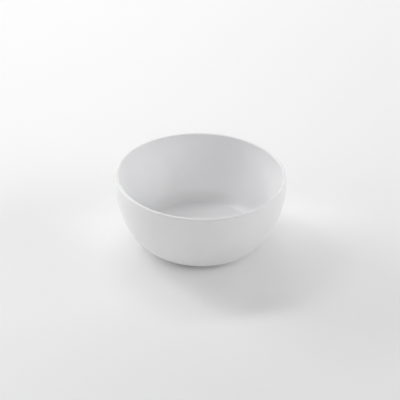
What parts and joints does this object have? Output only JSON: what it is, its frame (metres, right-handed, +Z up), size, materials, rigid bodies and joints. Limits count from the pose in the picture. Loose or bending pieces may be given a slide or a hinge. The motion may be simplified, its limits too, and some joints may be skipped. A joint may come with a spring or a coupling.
{
  "type": "crucible",
  "caption": "Wide, low round porcelain crucible with a gently curved side, a rounded lip, a flat inside floor and a low foot ring; open, with no lid, spout or handle.",
  "frame": {"origin": "on the axis of the turned body, in the plane of the foot ring's flat face, which is what it stands on", "axes": "+Z up along the axis; X and Y are any two level directions, because the body is round"},
  "size_m": [0.114, 0.114, 0.052],
  "materials": {
    "satin_glazed_porcelain": "satin glaze, neutral white, over fired white porcelain; the foot ring's flat face is bare"
  },
  "bodies": {
    "root": {"crucible_body": "satin_glazed_porcelain"}
  },
  "joints": []
}
